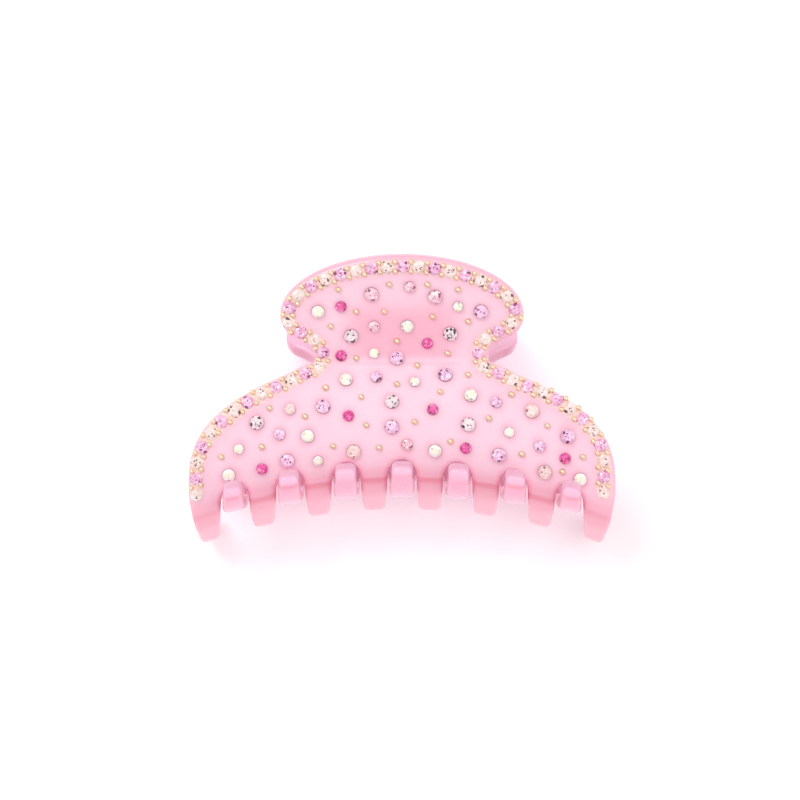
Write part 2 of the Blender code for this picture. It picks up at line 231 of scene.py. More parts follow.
def on_profile(s):
    """(y, z) on the outer surface in the middle of a jaw, and the unit normal there."""
    if s < 0:
        angle = min(-s / HANDLE_BEND, HANDLE_ANGLE)
        straight = -s - HANDLE_BEND * angle
        y = HANDLE_BEND * math.sin(angle) + straight * math.cos(angle)
        z = WAIST_HEIGHT + HANDLE_BEND * (1 - math.cos(angle)) + straight * math.sin(angle)
        return y, z, -math.sin(angle), math.cos(angle)
    start, y, z, heading, curvature = [bend for bend in BODY_RUN if bend[0] <= s][-1]
    now = heading + curvature * (s - start)
    y += (math.sin(now) - math.sin(heading)) / curvature
    z -= (math.cos(now) - math.cos(heading)) / curvature
    return y, z, math.sin(now), -math.cos(now)


def bent(side, x, s, depth=0.0):
    """The place of (x, s) on the bent sheet, depth under its outer surface. side is 1 in front."""
    y, z, normal_y, normal_z = on_profile(s)
    share = min(max(s / CURVED_FROM, 0.0), 1.0)
    share *= share * (3 - 2 * share)
    arch = ARCH if side > 0 else REAR_ARCH
    y -= depth * normal_y + arch * share * x * x
    z -= depth * normal_z + DOME * share * x * x
    return HINGE + Vector((x, y, side * z))


def smooth(points, step):
    """A Catmull-Rom curve through the points, with a place about every step."""
    ends = [2 * points[0] - points[1], *points, 2 * points[-1] - points[-2]]
    curve = []
    for before, a, b, after in zip(ends, ends[1:], ends[2:], ends[3:]):
        pieces = max(1, round((b - a).length / step))
        for i in range(pieces):
            t = i / pieces
            curve.append(
                0.5 * (2 * a + (b - before) * t + (2 * before - 5 * a + 4 * b - after) * t * t
                       + (3 * a - before - 3 * b + after) * t ** 3)
            )
    return curve + [points[-1]]


def handle_edge(width, step):
    """The right half of the handle's end, a quarter of an ellipse."""
    count = round(0.5 * math.pi * (0.25 * HANDLE_WIDTH + 0.5 * HANDLE_RISE) / step)
    edge = []
    for i in range(count + 1):
        angle = 0.5 * math.pi * (i / count - 1)
        x = 0.5 * width * math.cos(angle)
        edge.append(Vector((x, HANDLE_MIDDLE + HANDLE_RISE * math.sin(angle))))
    return edge


def side_edge(width, narrowing, step):
    """The right edge from the handle's widest place down to the outermost tooth."""
    points = [Vector((0.5 * width, HANDLE_MIDDLE))]
    above = (0.5 * width - WAIST_HALF) / (0.5 * HANDLE_WIDTH - WAIST_HALF)
    for x, s in SIDE_EDGE:
        flare = narrowing if s > 0 else above
        points.append(Vector((WAIST_HALF + flare * (x * MM - WAIST_HALF), s * MM)))
    widest = max(point.x for point in points)
    return [Vector((min(p.x, widest), p.y)) for p in smooth(points, step)[1:]]


def tooth_half_width(centre, s):
    root = TOOTH_ROOT + TOOTH_ROOT_GAIN * abs(centre)
    tip = TOOTH_TIP - TOOTH_TIP_LOSS * abs(centre)
    share = (s - SLOT_TOP) / (TIP - SLOT_TOP)
    return root + (tip - root) * share


def tip_round(right, left, end, pieces):
    """A tooth's tip with its two round corners, from its right edge to its left edge."""
    arc = []
    for i in range(2 * pieces + 2):
        angle = 0.5 * math.pi * (i if i <= pieces else i - 1) / pieces
        middle = right - TIP_CORNER if i <= pieces else left + TIP_CORNER
        x = middle + TIP_CORNER * math.cos(angle)
        arc.append(Vector((x, end - TIP_CORNER + TIP_CORNER * math.sin(angle))))
    return arc


def slot_round(left, right, pieces):
    """The round end of the slot between the teeth at left and right."""
    s = SLOT_TOP + SLOT_ROUND
    edge_right = right - tooth_half_width(right, s)
    edge_left = left + tooth_half_width(left, s)
    middle = 0.5 * (edge_left + edge_right)
    half = 0.5 * (edge_right - edge_left)
    return [
        Vector((middle + half * math.cos(math.pi * i / pieces),
                s - SLOT_ROUND * math.sin(math.pi * i / pieces)))
        for i in range(pieces + 1)
    ]


def outline(teeth, width, narrowing, shortening, step):
    """The flat sheet's whole edge, anticlockwise from the middle of the handle's end."""
    centres = [(0.5 * (teeth - 1) - i) * TOOTH_PITCH for i in range(teeth)]
    right = handle_edge(width, step) + side_edge(width, narrowing, step)
    outer = right[-1].x
    teeth_edge = []
    for i, centre in enumerate(centres):
        half = tooth_half_width(centre, TIP)
        first = outer if i == 0 else centre + half
        last = -outer if i == teeth - 1 else centre - half
        teeth_edge += tip_round(first, last, TIP - shortening * centre * centre, 6)
        if i < teeth - 1:
            teeth_edge += slot_round(centres[i + 1], centre, 16)
    left = [Vector((-point.x, point.y)) for point in reversed(right[1:])]
    return right + teeth_edge + left


def inward(points, closed=True):
    """The unit normal at each point, to the left of the way along."""
    normals = []
    count = len(points)
    for i, point in enumerate(points):
        before = points[i - 1] if closed or i else point
        after = points[(i + 1) % count] if closed or i < count - 1 else point
        along = after - before
        normals.append(Vector((-along.y, along.x)).normalized())
    return normals


# Mesh helpers

def blended(a, b, share):
    return tuple(p + (q - p) * share for p, q in zip(a, b))


def ease(value, low, high):
    share = min(max((value - low) / (high - low), 0.0), 1.0)
    return share * share * (3 - 2 * share)


def piece_of(name, shape, material, soft=True):
    """A new object from a bmesh, closed and facing out."""
    bmesh.ops.recalc_face_normals(shape, faces=shape.faces)
    for face in shape.faces:
        face.smooth = soft
    mesh = bpy.data.meshes.new(name)
    shape.to_mesh(mesh)
    shape.free()
    mesh.materials.append(material)
    made = bpy.data.objects.new(name, mesh)
    bpy.context.scene.collection.objects.link(made)
    return made


def cut_along(shape, point, normal):
    """Splits every face that the plane crosses."""
    everything = shape.verts[:] + shape.edges[:] + shape.faces[:]
    bmesh.ops.bisect_plane(
        shape, geom=everything, dist=0.01 * MM, plane_co=point, plane_no=normal
    )


# Materials

def new_material(name):
    made = bpy.data.materials.new(name)
    made.use_nodes = True
    nodes = made.node_tree.nodes
    return made, nodes, made.node_tree.links, nodes["Principled BSDF"]


def noise(nodes, links, scale, detail):
    place = nodes.new("ShaderNodeTexCoord")
    made = nodes.new("ShaderNodeTexNoise")
    made.inputs["Scale"].default_value = scale
    made.inputs["Detail"].default_value = detail
    links.new(place.outputs["Object"], made.inputs["Vector"])
    return made


def ramp(nodes, links, source, low, high):
    made = nodes.new("ShaderNodeMapRange")
    made.inputs["To Min"].default_value = low
    made.inputs["To Max"].default_value = high
    links.new(source, made.inputs["Value"])
    return made.outputs["Result"]


def bump(nodes, links, height, strength, distance, shader):
    made = nodes.new("ShaderNodeBump")
    made.inputs["Strength"].default_value = strength
    made.inputs["Distance"].default_value = distance
    links.new(height, made.inputs["Height"])
    links.new(made.outputs["Normal"], shader.inputs["Normal"])


def acetate():
    """Milky translucent sheet: a tint per place, faint clouds, a painted glow that lightens its
    shadows, and a hand-polished surface.
    """
    made, nodes, links, shader = new_material("milky_pink_acetate")
    tint = nodes.new("ShaderNodeAttribute")
    tint.attribute_name = "tint"
    clouds = noise(nodes, links, 70.0, 3.0)
    lift = ramp(nodes, links, clouds.outputs["Fac"], 0.94, 1.04)
    colour = nodes.new("ShaderNodeVectorMath")
    colour.operation = "SCALE"
    links.new(tint.outputs["Color"], colour.inputs[0])
    links.new(lift, colour.inputs["Scale"])
    links.new(colour.outputs["Vector"], shader.inputs["Base Color"])
    shader.inputs["Subsurface Weight"].default_value = 0.35
    shader.inputs["Subsurface Radius"].default_value = (1.0, 0.45, 0.55)
    shader.inputs["Subsurface Scale"].default_value = 0.0015
    shader.inputs["IOR"].default_value = 1.49
    # painted glow: the tint is also given off as light, which lightens the sheet's shadows
    links.new(colour.outputs["Vector"], shader.inputs["Emission Color"])
    shader.inputs["Emission Strength"].default_value = GLOW
    shader.inputs["Coat Weight"].default_value = 0.25
    shader.inputs["Coat Roughness"].default_value = 0.04
    haze = noise(nodes, links, 260.0, 4.0)
    links.new(ramp(nodes, links, haze.outputs["Fac"], 0.10, 0.22), shader.inputs["Roughness"])
    waves = noise(nodes, links, 120.0, 2.0)
    bump(nodes, links, waves.outputs["Fac"], 0.12, 0.0004, shader)
    return made


def gem():
    """Cut stones: every facet has its own shade in the tint attribute, with painted light and dark
    reflections among them, under a clear gloss.
    """
    made, nodes, links, shader = new_material("cut_stone")
    tint = nodes.new("ShaderNodeAttribute")
    tint.attribute_name = "tint"
    links.new(tint.outputs["Color"], shader.inputs["Base Color"])
    grain = noise(nodes, links, 900.0, 1.0)
    links.new(ramp(nodes, links, grain.outputs["Fac"], 0.02, 0.10), shader.inputs["Roughness"])
    shader.inputs["IOR"].default_value = 1.55
    shader.inputs["Coat Weight"].default_value = 0.8
    shader.inputs["Coat Roughness"].default_value = 0.02
    return made


def gold():
    made, nodes, links, shader = new_material("small_gold_beads")
    worn = noise(nodes, links, 500.0, 2.0)
    mix = nodes.new("ShaderNodeMix")
    mix.data_type = "RGBA"
    mix.inputs["A"].default_value = (0.82, 0.57, 0.38, 1)
    mix.inputs["B"].default_value = (0.92, 0.72, 0.54, 1)
    links.new(worn.outputs["Fac"], mix.inputs["Factor"])
    links.new(mix.outputs["Result"], shader.inputs["Base Color"])
    links.new(ramp(nodes, links, worn.outputs["Fac"], 0.22, 0.38), shader.inputs["Roughness"])
    shader.inputs["Metallic"].default_value = 0.9
    return made


def steel():
    made, nodes, links, shader = new_material("drawn_steel")
    lines = noise(nodes, links, 700.0, 3.0)
    tone = ramp(nodes, links, lines.outputs["Fac"], 0.50, 0.72)
    joined = nodes.new("ShaderNodeCombineColor")
    for channel in ("Red", "Green", "Blue"):
        links.new(tone, joined.inputs[channel])
    links.new(joined.outputs["Color"], shader.inputs["Base Color"])
    links.new(ramp(nodes, links, lines.outputs["Fac"], 0.16, 0.36), shader.inputs["Roughness"])
    shader.inputs["Metallic"].default_value = 1.0
    bump(nodes, links, lines.outputs["Fac"], 0.15, 0.00005, shader)
    return made


ACETATE = acetate()
GEM = gem()
GOLD = gold()
STEEL = steel()


# The border row's line

def row_path():
    """The row's line, from its lowest place on the left body edge round to the right one.

    The right half has small shifts of its own, because the row isn't the same on both sides.
    """
    step = 0.5 * MM
    half = handle_edge(HANDLE_WIDTH, step) + side_edge(HANDLE_WIDTH, 1.0, step)
    sides = []
    for right in (0.0, 1.0):
        inset = []
        for point, normal in zip(half, inward(half, closed=False)):
            top = ease(-point.y, 13 * MM, 20.5 * MM)
            notch = ease(point.y, -1 * MM, 0.5 * MM) * (1 - ease(point.x, 21 * MM, 29 * MM))
            shoulder = ease(point.y, 3 * MM, 6 * MM)
            side = ease(point.y, 8 * MM, 16 * MM)
            above_notch = ease(point.y, -9 * MM, -6 * MM) * (1 - ease(point.y, -2 * MM, 0))
            distance = ROW_INSET + (ROW_INSET_TOP - ROW_INSET) * top + 0.35 * MM * notch
            distance += right * MM * (1.3 * side - 0.4 * shoulder + 0.7 * above_notch)
            place = point + distance * normal
            if place.x > -0.01 * MM and place.y < ROW_START and point.y < ROW_START + 4 * MM:
                inset.append(place)
        inset[0].x = 0.0
        sides.append(inset)
    return [Vector((-p.x, p.y)) for p in reversed(sides[0][1:])] + sides[1]


def lengths_along(path):
    """How far along the bent sheet each place of the path is."""
    places = [bent(1, p.x, p.y) for p in path]
    total = [0.0]
    for a, b in zip(places, places[1:]):
        total.append(total[-1] + (b - a).length)
    return total


def along_path(path, totals, length):
    """The place and the direction at this length along the path."""
    i = 1
    while i < len(totals) - 1 and totals[i] < length:
        i += 1
    a, b = path[i - 1], path[i]
    share = (length - totals[i - 1]) / max(totals[i] - totals[i - 1], 1e-9)
    return a + (b - a) * share, (b - a).normalized()


def row_places():
    """Each border stone as (place, direction): evenly spaced on the body and round the handle."""
    path = row_path()
    totals = lengths_along(path)
    notches = [i for i, p in enumerate(path) if p.y < 1.4 * MM]
    first = totals[notches[0]]
    last = totals[notches[-1]]
    end = totals[-1] - last
    lengths = [first * i / (ROW_ON_BODY - 1) for i in range(ROW_ON_BODY)]
    lengths += [
        first + (last - first) * (i + 1) / (ROW_ON_HANDLE + 1) for i in range(ROW_ON_HANDLE)
    ]
    lengths += [last + end * i / (ROW_ON_BODY - 1) for i in range(ROW_ON_BODY)]
    stones = [along_path(path, totals, length) for length in lengths]
    gaps = [along_path(path, totals, 0.5 * (a + b)) for a, b in zip(lengths, lengths[1:])]
    return stones, gaps


ROW, ROW_GAPS = row_places()


# Jaws

def dense(ring, step):
    """Places along a closed ring of straight pieces, about every step."""
    places = []
    for a, b in zip(ring, ring[1:] + ring[:1]):
        pieces = max(1, round((b - a).length / step))
        places += [a + (b - a) * i / pieces for i in range(pieces)]
    return places


def tree_of(points):
    """A search tree over flat places."""
    tree = KDTree(len(points))
    for i, point in enumerate(points):
        tree.insert((point.x, point.y, 0), i)
    tree.balance()
    return tree


# the single stones' places and radii, for the painted shadow round each one
HALOS = tree_of([Vector((x, s)) for _, _, places in STONES for x, s in places])
HALO_RADII = [radius / MM for _, radius, places in STONES for _ in places]


def front_tint(x, s, to_edge, to_row):
    """The front sheet's colour at (x, s), in millimetres, painted shade and reflections included.
    """
    # painted shade: deeper towards the edge, beside the row and round each stone
    colour = blended(BODY_TINT, DEEP_TINT, 0.50 * math.exp(-to_edge / 1.2))
    colour = blended(colour, DEEP_TINT, 0.40 * math.exp(-max(to_row - 1.4, 0) / 1.1))
    _, nearest, away = HALOS.find((x, s, 0))
    colour = blended(colour, DEEP_TINT, 0.55 * math.exp(-max(away - HALO_RADII[nearest], 0) / 0.5))
    # a warm tone under the row
    colour = blended(colour, PEACH_TINT, 0.65 * (1 - ease(to_row, 0.9, 1.6)))
    # the hinge's shade through the sheet, and a painted dark reflection line where the handle
    # bends
    hinge = ease(s, -14.5, -8) * (1 - ease(s, -1.5, 0.4)) * (1 - ease(abs(x), 7, 14))
    colour = blended(colour, DEEP_TINT, 0.75 * hinge)
    bend_reflection_line = (1 - ease(abs(s - 0.6), 0.1, 0.6)) * (1 - ease(abs(x), 10, 12))
    colour = blended(colour, DEEP_TINT, 0.35 * bend_reflection_line)
    # the teeth, and a painted dark reflection band where each one turns down
    colour = blended(colour, DEEP_TINT, 0.75 * ease(s, 20.0, 23.4))
    turn = 23.6 + 0.8 * ease(abs(x), 17, 27)
    band = ease(s, turn - 0.2, turn + 0.4) * (1 - ease(s, turn + 0.6, turn + 2.0))
    colour = blended(colour, TEETH_TINT, ease(s, turn, turn + 2.0))
    colour = blended(colour, DARK_REFLECTION_TINT, (0.65 - 0.35 * ease(abs(x), 30, 36)) * band)
    # painted shade along the rim, redder in the slots
    rim_shade = blended(RIM_SHADE_TINT, SLOT_SHADE_TINT, ease(s, 17, 21) * (1 - ease(s, 27, 32)))
    return blended(colour, rim_shade, 0.6 * (1 - ease(to_edge, 0.03, 0.2)))


def rear_tint(x, s, to_edge, to_row):
    """The rear sheet's colour: a painted highlight along each tooth's tip, closed by a painted
    dark reflection line, and painted shade at the rim.
    """
    colour = blended(LAVENDER_TINT, REAR_TEETH_TINT, ease(s, 18, 26))
    # painted shade towards the edge
    colour = blended(colour, DEEP_TINT, 0.6 * math.exp(-to_edge / 0.5))
    end = TIP / MM - 0.001 * REAR_SHORTENING * x * x
    # painted highlight along each tooth's tip
    colour = blended(colour, GLEAM_TINT, 0.8 * ease(s, end - 2.2, end - 1.7))
    # painted dark reflection line below the highlight
    line = ease(s, end - 2.9, end - 2.4) * (1 - ease(s, end - 2.2, end - 1.9))
    colour = blended(colour, DARK_REFLECTION_TINT, 0.45 * line)
    # painted shade along the rim
    return blended(colour, RIM_SHADE_TINT, 0.6 * (1 - ease(to_edge, 0.03, 0.2)))


def jaw(name, side, edge, grid, tint):
    """A sheet with a rounded rim, cut into a fine grid, bent, and tinted place by place, painted
    shade and reflections included.
    """
    normals = inward(edge)
    rounds = [0.5 * math.pi * i / RIM_STEPS for i in range(RIM_STEPS + 1)]
    levels = [(RIM * (1 - math.sin(a)), RIM * (1 - math.cos(a))) for a in rounds]
    levels += [(inset, SHEET - depth) for inset, depth in reversed(levels)]
    shape = bmesh.new()
    rings = [
        [shape.verts.new((p.x + n.x * inset, p.y + n.y * inset, depth))
         for p, n in zip(edge, normals)]
        for inset, depth in levels
    ]
    for upper, lower in zip(rings, rings[1:]):
        for i in range(len(edge)):
            j = (i + 1) % len(edge)
            shape.faces.new((upper[i], upper[j], lower[j], lower[i]))
    shape.faces.new(rings[0])
    shape.faces.new(rings[-1][::-1])
    lowest, highest = -HANDLE_REACH, TIP
    count = round((highest - lowest) / grid)
    for i in range(1, count):
        cut_along(shape, (0, lowest + (highest - lowest) * i / count, 0), (0, 1, 0))
    across = round(BODY_WIDTH / grid)
    for i in range(1, across):
        cut_along(shape, ((i / across - 0.5) * BODY_WIDTH, 0, 0), (1, 0, 0))
    edges = tree_of(dense(edge, 0.06 * MM))
    row = tree_of(row_path())
    colours = []
    for vertex in shape.verts:
        x, s, depth = vertex.co
        to_edge = edges.find((x, s, 0))[2] / MM
        # the border row's warm tone and painted shade go on the outer face only
        to_row = row.find((x, s, 0))[2] / MM + 9 * ease(depth, 0.3 * SHEET, 0.7 * SHEET)
        colours.append(tint(x / MM, s / MM, to_edge, to_row))
        vertex.co = bent(side, x, s, depth)
    bmesh.ops.triangulate(shape, faces=[f for f in shape.faces if len(f.verts) > 4])
    made = piece_of(name, shape, ACETATE)
    layer = made.data.color_attributes.new("tint", "FLOAT_COLOR", "POINT")
    layer.data.foreach_set("color", [c for colour in colours for c in (*colour, 1.0)])
    return made


def one_tint(piece, colour):
    """Gives the whole piece one tint."""
    layer = piece.data.color_attributes.new("tint", "FLOAT_COLOR", "POINT")
    layer.data.foreach_set("color", [*colour, 1.0] * len(piece.data.vertices))


# Hinge

def lug_side(side):
    """A lug's side view: a foot on the jaw's inside, a toe on the handle, an eye on the pin."""
    depth = SHEET + 0.02 * MM
    pieces = 16
    eye_start = -60
    eye_sweep = -130
    eye_pieces = 26
    span = LUG_ON_HANDLE + LUG_ON_BODY
    foot = [bent(side, 0, LUG_ON_BODY - span * i / pieces, depth) for i in range(pieces + 1)]
    toe = [
        bent(side, 0, -LUG_ON_HANDLE - 0.15 * MM, depth + 0.5 * LUG_TOE),
        bent(side, 0, -LUG_ON_HANDLE + 0.2 * MM, depth + LUG_TOE),
    ]
    eye = []
    for i in range(eye_pieces + 1):
        angle = math.radians(eye_start + eye_sweep * i / eye_pieces)
        eye.append(
            HINGE + LUG_RADIUS * Vector((0, math.cos(angle), side * math.sin(angle)))
        )
    a = toe[-1]
    b = eye[0]
    middle = 0.5 * (a + b) + 0.10 * (HINGE + Vector((0, 12 * MM, side * 12 * MM)) - 0.5 * (a + b))
    web = [
        a * (1 - t) ** 2 + middle * 2 * t * (1 - t) + b * t * t
        for t in (i / 10 for i in range(1, 10))
    ]
    return foot + toe + web + eye


def lug(name, side, middle, node):
    """The lug with its bore and softened edges."""
    outer = [Vector((p.y, p.z)) for p in lug_side(side)]
    centre = Vector((HINGE.y, HINGE.z))
    bore = PIN_RADIUS + 0.08 * MM
    soft = 0.35 * MM
    count = len(outer)
    turns = inward(outer)
    area = sum(p.cross(q) for p, q in zip(outer, outer[1:] + outer[:1]))
    sign = 1 if area > 0 else -1
    shape = bmesh.new()
    half = 0.5 * LUG_WIDTH
    profile = [(-half, soft), (-half + 0.3 * soft, 0.3 * soft), (-half + soft, 0.0),
               (half - soft, 0.0), (half - 0.3 * soft, 0.3 * soft), (half, soft)]
    rings = []
    for x, inset in profile:
        rings.append([
            shape.verts.new((middle + x, p.x + sign * n.x * inset, p.y + sign * n.y * inset))
            for p, n in zip(outer, turns)
        ])
    for x in (half, -half):
        ring = []
        for p in outer:
            away = (p - centre).normalized()
            place = centre + bore * away
            ring.append(shape.verts.new((middle + x, place.x, place.y)))
        rings.append(ring)
    for upper, lower in zip(rings, rings[1:] + rings[:1]):
        for i in range(count):
            j = (i + 1) % count
            shape.faces.new((upper[i], upper[j], lower[j], lower[i]))
    made = piece_of(name, shape, ACETATE)
    one_tint(made, blended(DEEP_TINT, LAVENDER_TINT, 0.4))
    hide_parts(node)
    return made


def turned(name, profile):
    """A steel piece turned about the pin's line from (x, radius) pairs."""
    shape = bmesh.new()
    rings = []
    for x, radius in profile:
        if radius == 0:
            rings.append([shape.verts.new(HINGE + Vector((x, 0, 0)))])
            continue
        angles = [2 * math.pi * i / TURNED_SIDES for i in range(TURNED_SIDES)]
        rings.append([
            shape.verts.new(HINGE + Vector((x, radius * math.cos(a), radius * math.sin(a))))
            for a in angles
        ])
    for near, far in zip(rings, rings[1:]):
        for i in range(TURNED_SIDES):
            corners = [near[i % len(near)], near[(i + 1) % len(near)],
                       far[(i + 1) % len(far)], far[i % len(far)]]
            shape.faces.new(list(dict.fromkeys(corners)))
    return piece_of(name, shape, STEEL)


def hinge_pin():
    half = PIN_HALF_LENGTH
    straight = half - 0.2 * MM
    end_radius = 0.8 * PIN_RADIUS
    profile = [(-half, 0), (-half, end_radius), (-straight, PIN_RADIUS),
               (straight, PIN_RADIUS), (half, end_radius), (half, 0)]
    made = turned("steel_hinge_pin", profile)
    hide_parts("hinge_pin")
    return made


def pin_cap(word, sign):
    """A domed cap with a rolled mouth."""
    mouth = CAP_END - CAP_LENGTH
    bore = PIN_RADIUS + 0.05 * MM
    bore_end = CAP_END - 0.6 * MM
    dome_height = 0.7 * MM
    soft = 0.15 * MM
    dome = [
        (CAP_END - dome_height * (1 - math.sin(a)), CAP_RADIUS * math.cos(a))
        for a in (0.5 * math.pi * i / 6 for i in range(6))
    ]
    profile = [(bore_end, 0), (bore_end, bore), (mouth, bore),
               (mouth - 0.02 * MM, bore + 0.3 * MM), (mouth, CAP_RADIUS - soft),
               (mouth + soft, CAP_RADIUS), *dome, (CAP_END, 0)]
    made = turned(f"domed_pin_cap_{word}", [(sign * x, r) for x, r in profile])
    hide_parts(f"pin_cap_{word}")
    return made


def tube(points, radius, sides):
    """A closed round tube along the points."""
    shape = bmesh.new()
    rings = []
    across = None
    for i, point in enumerate(points):
        along = (points[min(i + 1, len(points) - 1)] - points[max(i - 1, 0)]).normalized()
        if across is None:
            across = along.orthogonal().normalized()
        across = (across - along * across.dot(along)).normalized()
        other = along.cross(across)
        rings.append([
            shape.verts.new(
                point + radius * (math.cos(2 * math.pi * k / sides) * across
                                  + math.sin(2 * math.pi * k / sides) * other)
            )
            for k in range(sides)
        ])
    for near, far in zip(rings, rings[1:]):
        for k in range(sides):
            m = (k + 1) % sides
            shape.faces.new((near[k], near[m], far[m], far[k]))
    shape.faces.new(rings[0][::-1])
    shape.faces.new(rings[-1])
    return shape


def torsion_spring():
    """A coil round the pin, with one straight leg to the inside of each handle."""
    end = bent(1, 0, -LEG_REACH, SHEET + GAP + WIRE_RADIUS) - HINGE
    away = math.acos(COIL_RADIUS / math.hypot(end.y, end.z))
    leaves = math.atan2(end.z, end.y) - away
    half = 0.5 * COIL_PITCH * COIL_TURNS
    turn = 2 * math.pi * COIL_TURNS - 2 * leaves
    steps = round(COIL_SIDES * turn / (2 * math.pi))
    coil = []
    for i in range(steps + 1):
        angle = -leaves - turn * i / steps
        x = -half + 2 * half * i / steps
        coil.append(Vector((x, COIL_RADIUS * math.cos(angle), COIL_RADIUS * math.sin(angle))))
    first = Vector((-half, end.y, -end.z))
    last = Vector((half, end.y, end.z))
    path = [first + (coil[0] - first) * i / LEG_STEPS for i in range(LEG_STEPS)] + coil
    path += [coil[-1] + (last - coil[-1]) * (i + 1) / LEG_STEPS for i in range(LEG_STEPS)]
    shape = tube([HINGE + point for point in path], WIRE_RADIUS, WIRE_SIDES)
    made = piece_of("coiled_torsion_spring", shape, STEEL)
    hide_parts("torsion_spring")
    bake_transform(made)
    return made


# Stones and beads

PALETTES = {
    # shades of the facets, each with its share of them; the darkest shade and the lighter and
    # darker copies of a stone's colour are painted reflections
    "crystal": (((0.88, 0.75, 0.79), 9), ((0.68, 0.54, 0.60), 4), ((0.80, 0.66, 0.67), 3),
                ((0.04, 0.02, 0.03), 3.5)),
    "aurora": (((0.90, 0.88, 0.88), 10), ((0.84, 0.82, 0.56), 4), ((0.70, 0.74, 0.68), 2),
               ((0.50, 0.40, 0.46), 1)),
    "champagne": (((0.86, 0.64, 0.62), 9), ((0.76, 0.50, 0.46), 4), ((0.90, 0.78, 0.76), 4),
                  ((0.30, 0.16, 0.16), 1)),
    "rose": (((0.86, 0.54, 0.62), 9), ((0.76, 0.40, 0.50), 4), ((0.90, 0.74, 0.78), 4),
             ((0.28, 0.06, 0.13), 2)),
    "lilac": (((0.84, 0.53, 0.74), 9), ((0.72, 0.38, 0.62), 4), ((0.90, 0.72, 0.84), 4),
              ((0.16, 0.03, 0.11), 2)),
    "fuchsia": (((0.80, 0.08, 0.36), 9), ((0.64, 0.04, 0.24), 5), ((0.88, 0.32, 0.56), 3),
                ((0.18, 0.01, 0.06), 2)),
    "clear_row": (((0.86, 0.68, 0.64), 9), ((0.76, 0.56, 0.50), 5), ((0.90, 0.80, 0.78), 5),
                  ((0.12, 0.06, 0.06), 1.7)),
    "pink_row": (((0.84, 0.46, 0.66), 8), ((0.70, 0.30, 0.52), 5), ((0.90, 0.68, 0.80), 4),
                 ((0.24, 0.04, 0.15), 2)),
}
TABLES = {"aurora": (0.88, 0.85, 0.64)}
SETTING = (0.34, 0.19, 0.24)  # the thin dark ring round a single stone
SETTING_ROW = (0.55, 0.28, 0.30)


def gem_shape(shape, layer, frame_of, radius, colour, chance):
    """Adds one cut stone to the bmesh: seat ring, girdle, crown facets and a split table."""
    palette = PALETTES[colour]
    shades = [shade for shade, _ in palette]
    weights = [weight for _, weight in palette]

    def ring(count, share, height, turn=0.0):
        return [
            shape.verts.new(frame_of @ Vector((
                share * radius * math.cos(2 * math.pi * (i + turn) / count),
                share * radius * math.sin(2 * math.pi * (i + turn) / count),
                height * radius)))
            for i in range(count)
        ]

    def facet(corners, shade):
        for loop in shape.faces.new(corners).loops:
            loop[layer] = (*shade, 1.0)

    # a facet's shade: the stone's colour or a painted reflection
    def pick():
        return chance.choices(shades, weights)[0]

    light = shades[0]
    dark = SETTING_ROW if colour.endswith("row") else SETTING
    table_shade = TABLES.get(colour)
    spin = chance.random()
    back = ring(16, 0.86, -0.06)
    foot = ring(16, 1.05, 0.02)
    low = ring(16, 1.0, 0.22)
    high = ring(16, 1.0, 0.34)
    star = ring(8, 0.80, 0.58, 0.5)
    table = ring(8, 0.56, 0.78)
    inner = ring(8, 0.26, 0.765, spin)
    middle = shape.verts.new(frame_of @ Vector((0, 0, 0.76 * radius)))
    for i in range(16):
        j = (i + 1) % 16
        facet((foot[i], foot[j], back[j], back[i]), dark)
        facet((foot[j], foot[i], low[i], low[j]), dark)
        facet((low[j], low[i], high[i], high[j]), blended(dark, light, 0.45))
    facet(back[::-1], dark)
    for i in range(8):
        j = (i + 1) % 8
        a, b, c = high[2 * i], high[2 * i + 1], high[(2 * i + 2) % 16]
        facet((a, b, star[i]), pick())
        facet((b, c, star[i]), pick())
        facet((high[2 * i], star[i], table[i], star[i - 1]), pick())
        facet((table[i], star[i], table[j]), pick())
        facet((table[i], table[j], inner[i]), table_shade or pick())
        facet((inner[i], table[j], inner[j]), pick())
        facet((inner[i], inner[j], middle), table_shade or pick())


def seat(x, s, depth=0.0, turn=0.0):
    """The frame of a stone at (x, s) on the front jaw, its axis along the sheet's normal."""
    reach = 0.4 * MM
    place = bent(1, x, s, depth)
    across = bent(1, x + reach, s, depth) - bent(1, x - reach, s, depth)
    along = bent(1, x, s - reach, depth) - bent(1, x, s + reach, depth)
    up = across.cross(along).normalized()
    across.normalize()
    turned_to = Matrix((across, up.cross(across), up)).transposed().to_4x4()
    return Matrix.Translation(place) @ turned_to @ Matrix.Rotation(turn, 4, "Z")


def gem_piece(name, stones, seed, depth=STONE_SUNK):
    """One piece of one or more cut stones: (x, s, radius, colour), lengths in metres."""
    chance = random.Random(seed)
    shape = bmesh.new()
    layer = shape.loops.layers.float_color.new("tint")
    for x, s, radius, colour in stones:
        placed = seat(x, s, depth, chance.uniform(0, math.pi))
        gem_shape(shape, layer, placed, radius, colour, chance)
    return piece_of(name, shape, GEM, soft=False)


def scattered_stones():
    number = 0
    for colour, radius, places in STONES:
        for x, s in places:
            number += 1
            fill = AURORA_FILL if colour == "aurora" else STONE_FILL
            cut = (x * MM, s * MM, fill * radius, colour)
            name = f"cut_{colour}_stone_{number:02d}"
            stone = gem_piece(name, [cut], number)
            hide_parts(f"rhinestone_{number:02d}")
            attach(stone, "front")


def border_stones():
    for name, first, colour, slot in (("clear", 0, "clear_row", "stone_crystal"),
                                      ("lilac", 1, "pink_row", "stone_lilac")):
        places = [(p.x, p.y, ROW_STONE, colour) for p, _ in ROW[first::2]]
        piece = gem_piece(f"border_stones_{name}", places, 200 + first, ROW_SUNK)
        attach(piece, "front")


